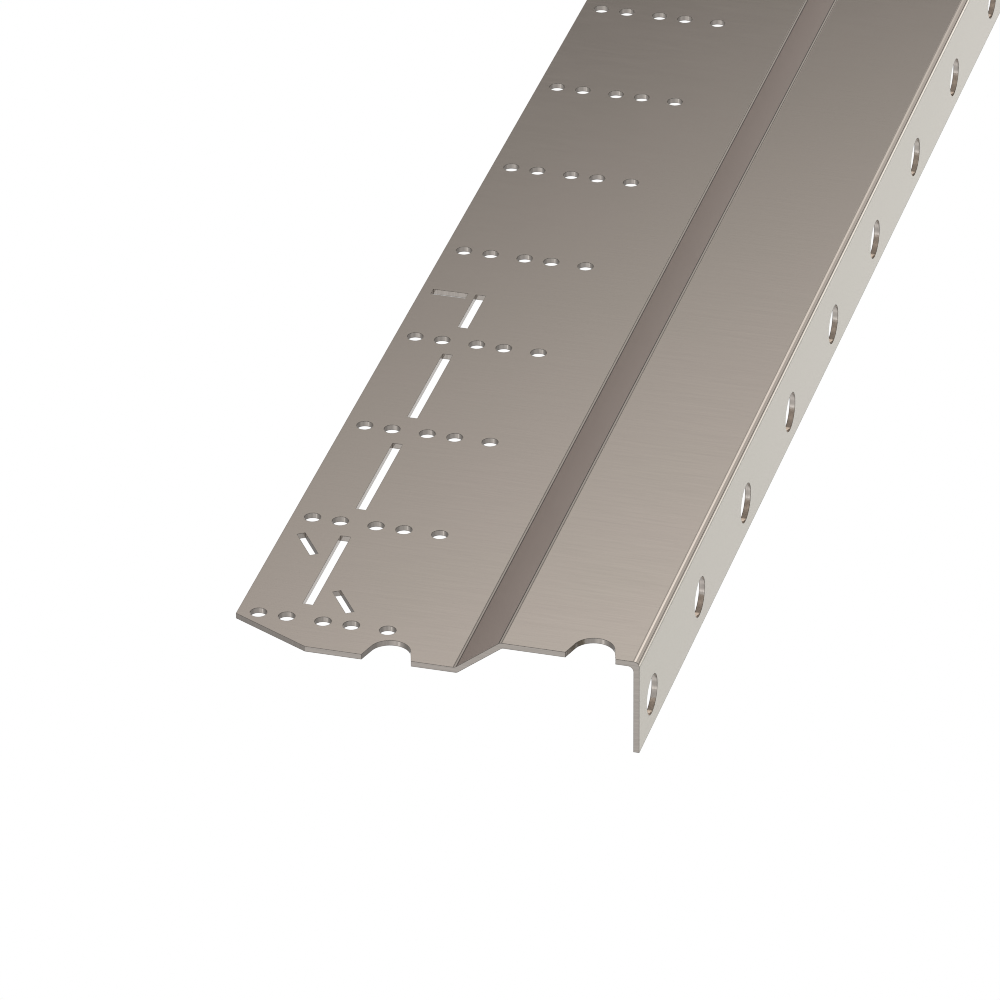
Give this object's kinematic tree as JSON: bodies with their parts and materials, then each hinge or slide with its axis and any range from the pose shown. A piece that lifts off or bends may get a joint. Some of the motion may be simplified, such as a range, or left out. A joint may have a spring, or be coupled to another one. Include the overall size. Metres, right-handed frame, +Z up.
{
  "type": "shelving upright",
  "caption": "Folded and punched sheet steel upright: a lower plate with rows of holes and slots, a sloping step, an upper plate, a turned-down flange with holes, and a notched end.",
  "frame": {"origin": "middle of the overall box in plan, at the level of the flange's lower edge", "axes": "+X across the width from the free edge to the flange, +Y along the length away from the notched end, +Z up from the flange's foot to the upper plate"},
  "size_m": [0.112, 0.7, 0.0276],
  "materials": {
    "steel": "brushed, warm grey"
  },
  "bodies": {
    "root": {"upright": "steel"}
  },
  "joints": []
}
